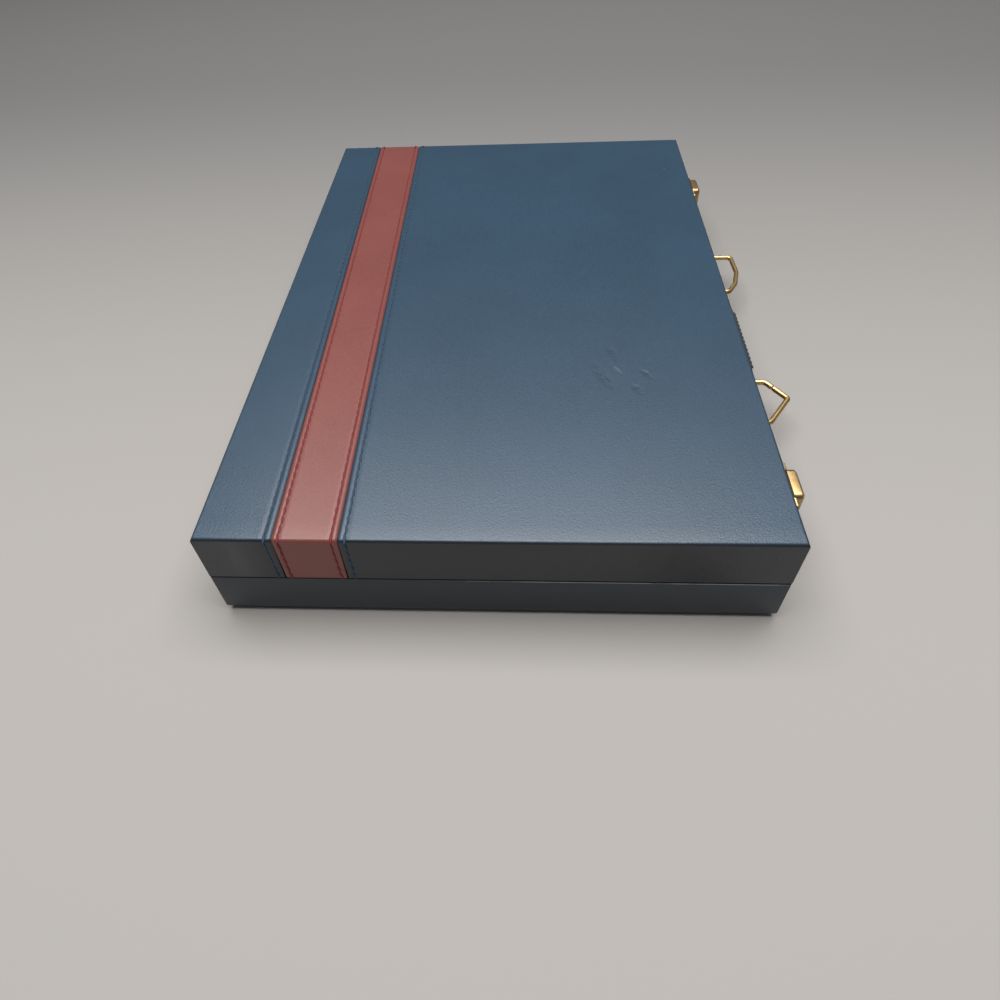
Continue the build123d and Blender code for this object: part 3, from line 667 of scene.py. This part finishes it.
def heads_group():
    """Low domed heads on points, all facing one way."""
    tree, given = new_group(
        "domed_heads",
        [
            ("Radius", "NodeSocketFloat"), ("Height", "NodeSocketFloat"), ("Facing", "NodeSocketVector"),
            ("Metal", "NodeSocketMaterial"),
        ],
    )
    ball = add(tree, "GeometryNodeMeshUVSphere", {"Segments": 16, "Rings": 10, "Radius": 1.0})
    scale = {"X": given["Radius"], "Y": given["Radius"], "Z": given["Height"]}
    scale = add(tree, "ShaderNodeCombineXYZ", scale)
    dome = add(tree, "GeometryNodeTransform", {"Geometry": ball, "Scale": scale})
    facing = add(tree, "FunctionNodeAlignRotationToVector", {"Vector": given["Facing"]}, axis="Z")
    put = {"Points": given["Geometry"], "Instance": dome, "Rotation": facing}
    put = add(tree, "GeometryNodeInstanceOnPoints", put)
    real = add(tree, "GeometryNodeRealizeInstances", {"Geometry": put})
    painted = add(tree, "GeometryNodeSetMaterial", {"Geometry": real, "Material": given["Metal"]})
    add(tree, "NodeGroupOutput", {"Geometry": painted})
    return tree


sewn_row = stitch_group()
domed_heads = heads_group()


def points_mesh(points, edges=()):
    """Mesh of points in millimetres, with these edges between them."""
    mesh = bpy.data.meshes.new("points")
    mesh.from_pydata([tuple(MM * v for v in point) for point in points], edges, [])
    return mesh


def path_mesh(points, normals, closed=False):
    """Chain of edges through points, carrying the surface's normal."""
    count = len(points)
    edges = [(i, i + 1) for i in range(count - 1)]
    if closed:
        edges.append((count - 1, 0))
    mesh = points_mesh(points, edges)
    attribute = mesh.attributes.new("surface_normal", "FLOAT_VECTOR", "POINT")
    for index, normal in enumerate(normals):
        attribute.data[index].vector = normal
    return mesh


def sew(name, body, points, normals, thread, closed=False, pitch=STITCH_PITCH, length=STITCH_LENGTH):
    """Row of stitches along a path."""
    values = {
        "Pitch": pitch * MM, "Length": length * MM, "Width": THREAD_WIDTH * MM, "Slant": STITCH_SLANT,
        "Thread": thread, "Hole": needle_dark,
    }
    return finish(name, run_group(sewn_row, path_mesh(points, normals, closed), values), body, [], angle=60.0)


def over_the_lid(line, inset):
    """Points and normals of a seam from the bottom of the lid's front, over the top and down its back."""
    back = [(CASE_HALF_LENGTH, LID_BOTTOM + SEAM_END, 1.0, 0.0)]
    for index in range(5):
        turn = math.radians(90 * index / 4)
        out, up = math.cos(turn), math.sin(turn)
        y = CASE_HALF_LENGTH - LID_EDGE_ROUND + LID_EDGE_ROUND * out
        back.append((y, CASE_TOP - LID_EDGE_ROUND + LID_EDGE_ROUND * up, out, up))
    route = [(-y, z, -out, up) for y, z, out, up in back] + back[::-1]
    points = [(band_line(line, y) + inset, y, z) for y, z, out, up in route]
    return points, [(0, out, up) for y, z, out, up in route]


sew("band_stitches_hinge_side", "lid", *over_the_lid(BAND_START, BAND_STITCH_INSET), red_thread)
sew("band_stitches_latch_side", "lid", *over_the_lid(BAND_END, -BAND_STITCH_INSET), red_thread)
sew("navy_stitches_hinge_side", "lid", *over_the_lid(BAND_START, -NAVY_STITCH_INSET), blue_thread)
sew("navy_stitches_latch_side", "lid", *over_the_lid(BAND_END, NAVY_STITCH_INSET), blue_thread)


# Handle
def bent_path(corners, side, joint):
    """Points of a closed bent wire, starting and ending at a butt joint on one of its edges."""
    joint_edge, share = joint
    places = [Vector((CASE_HALF_WIDTH + out, side * away)) for out, away, _ in corners]
    count = len(places)
    points = []
    for step in range(count):
        index = (joint_edge + 1 + step) % count
        corner = places[index]
        before = (places[index - 1] - corner).normalized()
        after = (places[(index + 1) % count] - corner).normalized()
        half = before.angle(after) / 2
        bend = corners[index][2]
        lead = bend / math.tan(half)
        centre = corner + (before + after).normalized() * bend / math.sin(half)
        first = corner + before * lead - centre
        last = corner + after * lead - centre
        sweep = first.angle_signed(last)
        pieces = max(3, round(math.degrees(abs(sweep)) / 9))
        for piece in range(pieces + 1):
            turn = -sweep * piece / pieces
            points.append(centre + Vector((
                first.x * math.cos(turn) - first.y * math.sin(turn),
                first.x * math.sin(turn) + first.y * math.cos(turn),
            )))
    start, end = places[joint_edge], places[(joint_edge + 1) % count]
    along = (end - start).normalized()
    butt = start.lerp(end, share)
    points.insert(0, butt + along * WIRE_JOINT_GAP / 2)
    points.append(butt - along * WIRE_JOINT_GAP / 2)
    return points


def wire_mesh(points):
    """Round wire through points at the handle's level, with slightly rounded ends."""
    ways = [(end - start).normalized() for start, end in zip(points, points[1:])]
    stations = [(points[0] + ways[0] * back, ways[0], share) for share, back in WIRE_END]
    for point, before, after in zip(points[1:], ways, ways[1:]):
        stations.append((point, (before + after).normalized(), 1.0))
    stations += [(points[-1] - ways[-1] * back, ways[-1], share) for share, back in reversed(WIRE_END)]
    rings = []
    for place, way, share in stations:
        across = Vector((way.y, -way.x)) * WIRE_RADIUS * share
        up = WIRE_RADIUS * share
        rings.append([(*(place + across * c), HANDLE_LEVEL + up * s) for c, s in circle(WIRE_SIDES)])
    return skinned(rings)


for place, corners, side, joint in (
    ("near", NEAR_RING, -1, NEAR_WIRE_JOINT),
    ("far", FAR_RING, 1, FAR_WIRE_JOINT),
):
    wire = wire_mesh(bent_path(corners, side, joint))
    finish(f"{place}_wire_ring", wire, "handle", [wire_brass], [f"handle_{place}_ring"])
softened("handle_near_eye", "near_eye_plate", "base", brass, 0.18)
softened("handle_far_eye", "far_eye_plate", "base", brass, 0.18)
softened("handle_near_loop", "near_grip_loop", "grip", handle_leather, 0.5, 3)
softened("handle_far_loop", "far_grip_loop", "grip", handle_leather, 0.5, 3)


def grip_mesh(start, end):
    """Padded leather grip: oval, eased towards its ends, with a sewn ridge and a hollow along each side."""
    section = []
    for across, up in circle(GRIP_SIDES):
        ridge = 0.03 * math.exp(-(up / 0.14) ** 2) - 0.02 * math.exp(-((abs(up) - 0.4) / 0.12) ** 2)
        section.append((across * (1 + ridge) * 0.98, up))
    rings = []
    for step in range(GRIP_STEPS + 1):
        y = start + (end - start) * step / GRIP_STEPS
        nearest = min(y - start, end - y)
        share = min(1.0, nearest / GRIP_TAPER_LENGTH)
        swell = GRIP_END_SHARE + (1 - GRIP_END_SHARE) * math.sin(share * math.pi / 2)
        swell *= 1 - 0.14 * max(0.0, 1 - nearest / 0.8) ** 2
        width, height = GRIP_HALF_WIDTH * swell, GRIP_HALF_HEIGHT * swell
        rings.append([(GRIP_MIDDLE + width * out, y, HANDLE_LEVEL + height * up) for out, up in section])
    return skinned(rings)


grip_start, grip_end = (corner.y * 1000 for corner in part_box("handle_grip"))
grip = grip_mesh(grip_start, grip_end)
finish("leather_grip", grip, "grip", [handle_leather], ["handle_grip"])
seam_steps = int((grip_end - grip_start - 2 * GRIP_SEAM_MARGIN) / GRIP_SEAM_STEP)
for label, side in (("outer", 1), ("inner", -1)):
    x, z = GRIP_MIDDLE + side * GRIP_HALF_WIDTH * GRIP_SEAM_SHARE, HANDLE_LEVEL + GRIP_SEAM_RISE
    seam = [(x, grip_start + GRIP_SEAM_MARGIN + GRIP_SEAM_STEP * step, z) for step in range(seam_steps + 1)]
    shoulder = [(side * 0.9, 0, 0.44)] * len(seam)
    sew(f"grip_stitches_{label}", "grip", seam, shoulder, dark_thread, **GRIP_STITCH)


# Latches, hinge and their heads
for place in ("near", "far"):
    softened(f"latch_{place}_plate", f"{place}_latch_plate", "base", brass, 0.15)
    softened(f"latch_{place}_lever", f"{place}_latch_lever", f"latch_{place}", brass, 0.25, 3)
    softened(f"latch_{place}_catch", f"{place}_latch_catch", "lid", brass, 0.15)


def node_centres(node):
    """Middle, lowest and highest corner of each separate solid of a node, in millimetres."""
    build = node_copy(node)
    seen = set()
    middles = []
    for seed in build.verts:
        if seed in seen:
            continue
        # The group grows by the neighbours of each of its corners in turn
        seen.add(seed)
        group = [seed]
        for vert in group:
            for link in vert.link_edges:
                other = link.other_vert(vert)
                if other not in seen:
                    seen.add(other)
                    group.append(other)
        low = Vector([min(v.co[axis] for v in group) for axis in range(3)])
        high = Vector([max(v.co[axis] for v in group) for axis in range(3)])
        middles.append(((low + high) / 2, low, high))
    build.free()
    return middles


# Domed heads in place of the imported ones, seated on the side of them that touches the plate
for name, body, node, side, radius in (
    ("latch_plate_rivet_heads", "base", "latch_plate_rivets", 1, RIVET_RADIUS),
    ("eye_plate_rivet_heads", "base", "handle_eye_rivets", 1, RIVET_RADIUS),
    ("catch_rivet_heads", "lid", "catch_rivets", 1, RIVET_RADIUS),
    ("base_leaf_nail_heads", "base", "hinge_base_nails", -1, NAIL_RADIUS),
    ("lid_leaf_nail_heads", "lid", "hinge_lid_nails", -1, NAIL_RADIUS),
):
    seats = [(low.x if side > 0 else high.x, middle.y, middle.z) for middle, low, high in node_centres(node)]
    values = {"Radius": radius * MM, "Height": HEAD_HEIGHT * MM, "Facing": (side, 0, 0), "Metal": brass}
    finish(name, run_group(domed_heads, points_mesh(seats), values), body, [], [node], 60.0)
for half in ("base", "lid"):
    node = f"hinge_{half}_leaf"
    finish(f"{half}_hinge_leaf", in_metres(node_copy(node)), half, [brass], [node])


# Loose pieces
def turned(profile, axis_x, axis_z, segments=32):
    """Solid turned about an axis along Y from (y, radius) points in millimetres."""
    build = bmesh.new()
    rings = []
    for y, radius in profile:
        # A radius of nothing is a single point, the pole of the turning
        around = circle(segments) if radius else [(0.0, 0.0)]
        rings.append([build.verts.new((axis_x + radius * c, y, axis_z + radius * s)) for c, s in around])
    for first, second in zip(rings, rings[1:]):
        for index in range(segments):
            order = ((first, index), (first, index + 1), (second, index + 1), (second, index))
            face = list(dict.fromkeys(ring[i % len(ring)] for ring, i in order))
            if len(face) > 2:
                build.faces.new(face)
    bmesh.ops.recalc_face_normals(build, faces=build.faces)
    return build


def joined(builds):
    """One bmesh of several, which are freed."""
    whole = bmesh.new()
    for build in builds:
        mesh = mesh_from(build)
        whole.from_mesh(mesh)
        bpy.data.meshes.remove(mesh)
    return whole


def checker_row(side):
    """Row of turned checkers: rounded rim, dished faces with a ring."""
    half = CHECKER_THICKNESS / 2
    face = [
        (half - 0.7, 0.0), (half - 0.7, 2.6), (half - 0.35, 3.2), (half - 0.35, 4.0), (half - 0.7, 4.6),
        (half - 0.7, 7.0), (half - 0.1, 7.8), (half, 8.3), (half, 10.1), (half - 0.25, 10.7),
        (half - 0.9, CHECKER_RADIUS),
    ]
    profile = face + [(-y, radius) for y, radius in reversed(face)]
    rows = []
    for index in range(CHECKER_COUNT):
        middle = side * (CHECKER_ROW_START - (index + 0.5) * CHECKER_PITCH)
        rows.append(turned([(middle + y, radius) for y, radius in profile], TRAY_X, CHECKER_Z))
    return in_metres(joined(rows))


finish("maroon_checkers", checker_row(-1), "base", [maroon_resin], ["checkers_maroon"])
finish("ivory_checkers", checker_row(1), "base", [ivory_resin], ["checkers_ivory"])


def dice_cup(node, side):
    """Leather dice cup: a rolled foot and lip, a slight waist, and a felt bore."""
    low, high = (v * 1000 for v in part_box(node))
    foot = high.y if side > 0 else low.y
    length = high.y - low.y
    waist = CUP_RADIUS - CUP_WAIST
    profile = [
        (0.0, 0.0), (0.0, CUP_RADIUS - 1.2), (0.4, CUP_RADIUS - 0.35), (1.3, CUP_RADIUS), (2.9, CUP_RADIUS),
        (3.6, CUP_RADIUS - 0.3), (4.0, waist), (length / 2, waist - 0.25), (length - 4.0, waist),
        (length - 3.6, CUP_RADIUS - 0.3), (length - 2.9, CUP_RADIUS), (length - 1.0, CUP_RADIUS),
        (length - 0.3, CUP_RADIUS - 0.4), (length, CUP_RADIUS - 1.2), (length - 0.3, CUP_BORE + 0.2),
        (length - 0.9, CUP_BORE),
        (CUP_BOTTOM + 1.0, CUP_BORE), (CUP_BOTTOM, CUP_BORE - 1.0), (CUP_BOTTOM, 0.0),
    ]
    build = turned([(foot - side * along, radius) for along, radius in profile], TRAY_X, CUP_Z, 48)
    bore = CUP_BORE + 0.1
    for face in build.faces:
        middle = face.calc_center_median()
        reach = math.hypot(middle.x - TRAY_X, middle.z - CUP_Z)
        depth = (foot - middle.y) * side
        face.material_index = 1 if reach < bore and depth > 1.0 else 0
    return in_metres(build), foot, length


for place, side in (("near", -1), ("far", 1)):
    node = f"dice_cup_{place}"
    cup, foot, length = dice_cup(node, side)
    finish(f"{place}_dice_cup", cup, "base", [cup_leather, black_felt], [node])
    for label, along in (("foot", CUP_SEAM_MARGIN), ("lip", length - CUP_SEAM_MARGIN)):
        reach = CUP_RADIUS - CUP_SEAM_SINK
        normals = [(c, 0, s) for c, s in circle(36)]
        ring = [(TRAY_X + reach * c, foot - side * along, CUP_Z + reach * s) for c, s in circle(36)]
        sew(f"{place}_cup_{label}_stitches", "base", ring, normals, red_thread, closed=True, **CUP_STITCH)


# Pips of each value of a die on a grid of three by three, and the faces of a cube: the die's value, the way
# that the face looks, and the way across it
PIPS = {
    1: [(0, 0)],
    2: [(-1, -1), (1, 1)],
    3: [(-1, -1), (0, 0), (1, 1)],
    4: [(-1, -1), (-1, 1), (1, -1), (1, 1)],
    5: [(-1, -1), (-1, 1), (0, 0), (1, -1), (1, 1)],
    6: [(-1, -1), (-1, 0), (-1, 1), (1, -1), (1, 0), (1, 1)],
}
FACES = [
    (1, Vector((0, 0, 1)), Vector((1, 0, 0))), (6, Vector((0, 0, -1)), Vector((1, 0, 0))),
    (2, Vector((1, 0, 0)), Vector((0, 1, 0))), (5, Vector((-1, 0, 0)), Vector((0, 1, 0))),
    (3, Vector((0, 1, 0)), Vector((0, 0, 1))), (4, Vector((0, -1, 0)), Vector((0, 0, 1))),
]


def rounded_cube(middle, size, edge):
    """Cube with round edges and corners, in millimetres."""
    build = bmesh.new()
    bmesh.ops.create_cube(build, size=size)
    bmesh.ops.bevel(build, geom=build.edges[:], offset=edge, segments=4, profile=0.5, affect="EDGES")
    bmesh.ops.translate(build, vec=middle, verts=build.verts)
    return build


def dice(node):
    """Dice with rounded corners and filled pips, opposite faces adding up to seven."""
    cubes = []
    for middle, low, high in node_centres(node):
        size = high.x - low.x
        cube = rounded_cube(middle, size, DIE_EDGE_ROUND)
        for value, out, across in FACES:
            other = out.cross(across)
            for u, v in PIPS[value]:
                centre = middle + out * (size / 2 + PIP_PROUD) + (across * u + other * v) * size * PIP_SPREAD
                ring = [centre + (across * c + other * s) * PIP_RADIUS for c, s in circle(12)]
                face = cube.faces.new([cube.verts.new(point) for point in ring])
                face.normal_update()
                if face.normal.dot(out) < 0:
                    face.normal_flip()
                face.material_index = 1
        cubes.append(cube)
    return in_metres(joined(cubes))


for colour, resin, paint in (("ivory", ivory_resin, black_paint), ("maroon", maroon_resin, ivory_paint)):
    node = f"dice_{colour}"
    finish(f"{colour}_dice_pair", dice(node), "base", [resin, paint], [node])


def numeral(text, centre, out, up, height):
    """Flat numeral on a face, in millimetres."""
    letters = bpy.data.curves.new("numeral", "FONT")
    letters.body = text
    letters.align_x = "CENTER"
    letters.align_y = "CENTER"
    letters.size = height
    letters.extrude = 0.02
    letters.resolution_u = 3
    mesh = plain_mesh(temporary(letters))
    build = bmesh.new()
    build.from_mesh(mesh)
    bpy.data.meshes.remove(mesh)
    right = up.cross(out)
    for vert in build.verts:
        vert.co = centre + right * vert.co.x + up * vert.co.y + out * vert.co.z
    for face in build.faces:
        face.material_index = 1
    return build


def doubling_cube():
    """Cube that keeps the stake, with a power of two on each face."""
    middle, low, high = node_centres("doubling_cube")[0]
    size = high.x - low.x
    builds = [rounded_cube(middle, size, CUBE_EDGE_ROUND)]
    for value, (_, out, across) in zip(("64", "2", "32", "4", "16", "8"), FACES):
        face_middle = middle + out * size / 2
        builds.append(numeral(value, face_middle, out, across.cross(out), size * NUMERAL_SHARE))
    return in_metres(joined(builds))


finish("stake_cube", doubling_cube(), "base", [ivory_resin, black_paint], ["doubling_cube"])

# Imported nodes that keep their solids, with their finishes
kept = {"base_pad": black_felt, "hinge_pin": brass, "latch_near_pin": brass, "latch_far_pin": brass}
for material, pieces in (
    (pine, ["front_board", "back_board", "hinge_board", "latch_board"]),
    (plywood, ["panel"]),
    (tan, ["field"]),
    (point_maroon, ["points_maroon"]),
    (point_navy, ["points_navy", "tray_divider", "lining"]),
    (navy_felt, ["tray_felt"]),
):
    kept.update({f"{half}_{piece}": material for half in ("base", "lid") for piece in pieces})
for name, material in kept.items():
    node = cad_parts[name]
    node.data.materials.clear()
    node.data.materials.append(material)


# Floor, light and camera
def floor_material():
    """Pale grey card, darker towards the back as painted shade of the light falling off."""
    material, tree, place = new_material("pale_grey_card")
    along = add(tree, AXES, {"Vector": place}).outputs["Y"]
    back = add(tree, RANGE, {"Value": along, "From Min": -0.2, "From Max": 0.43}, **SOFT)
    colour = add(tree, MIX, {"Factor": back, "A": linear("#c0bdb9"), "B": linear("#838383")}, **COLOURS)
    return coated(material, {"Base Color": colour, "Roughness": 0.9})


card = bmesh.new()
bmesh.ops.create_grid(card, x_segments=1, y_segments=1, size=12.0)
floor = bpy.data.objects.new("floor", mesh_from(card))
# A hair below the pad, so that their faces don't meet
floor.location.z = -0.1 * MM
floor.data.materials.append(floor_material())
bpy.context.scene.collection.objects.link(floor)


def soft_light(name, place, target, size, power, colour):
    """Rectangular lamp that looks from its place at a target and isn't seen itself."""
    lamp = bpy.data.lights.new(name, "AREA")
    lamp.shape = "RECTANGLE"
    lamp.size, lamp.size_y = size
    lamp.energy = power
    lamp.color = linear(colour)[:3]
    holder = bpy.data.objects.new(name, lamp)
    holder.location = place
    holder.rotation_mode = "QUATERNION"
    holder.rotation_quaternion = (Vector(target) - Vector(place)).to_track_quat("-Z", "Y")
    holder.visible_camera = False
    bpy.context.scene.collection.objects.link(holder)
    return holder


# The strip only shows in gloss, as the pale sheen on the front half of the lid
soft_light("ceiling_softbox", (0.0, 0.05, 1.4), (0.0, 0.0, 0.0), (1.7, 1.1), 24.3, "#fffcfa")
sheen = soft_light("sheen_strip", (0.0, 0.42, 1.15), (0.0, -0.1, 0.0), (1.2, 0.4), 13.0, "#fffaf6")
sheen.visible_diffuse = False

world = bpy.data.worlds.new("soft_room")
world.use_nodes = True
background = world.node_tree.nodes["Background"]
background.inputs["Color"].default_value = linear("#d9dde0")
background.inputs["Strength"].default_value = 0.14
bpy.context.scene.world = world

# The photograph's viewpoint, fitted to the corners of the case and its seam
camera = bpy.data.objects.new("camera", bpy.data.cameras.new("camera"))
camera.location = (0.01055, -0.28556, 0.22491)
camera.rotation_euler = Euler([math.radians(turn) for turn in (41.981, 2.548, 2.564)])
camera.data.sensor_width = 36.0
camera.data.lens = 25.368
camera.data.shift_x, camera.data.shift_y = 0.0197, -0.0217
camera.data.clip_start = 0.01
bpy.context.scene.collection.objects.link(camera)
bpy.context.scene.camera = camera
bpy.context.scene.view_settings.view_transform = "Standard"
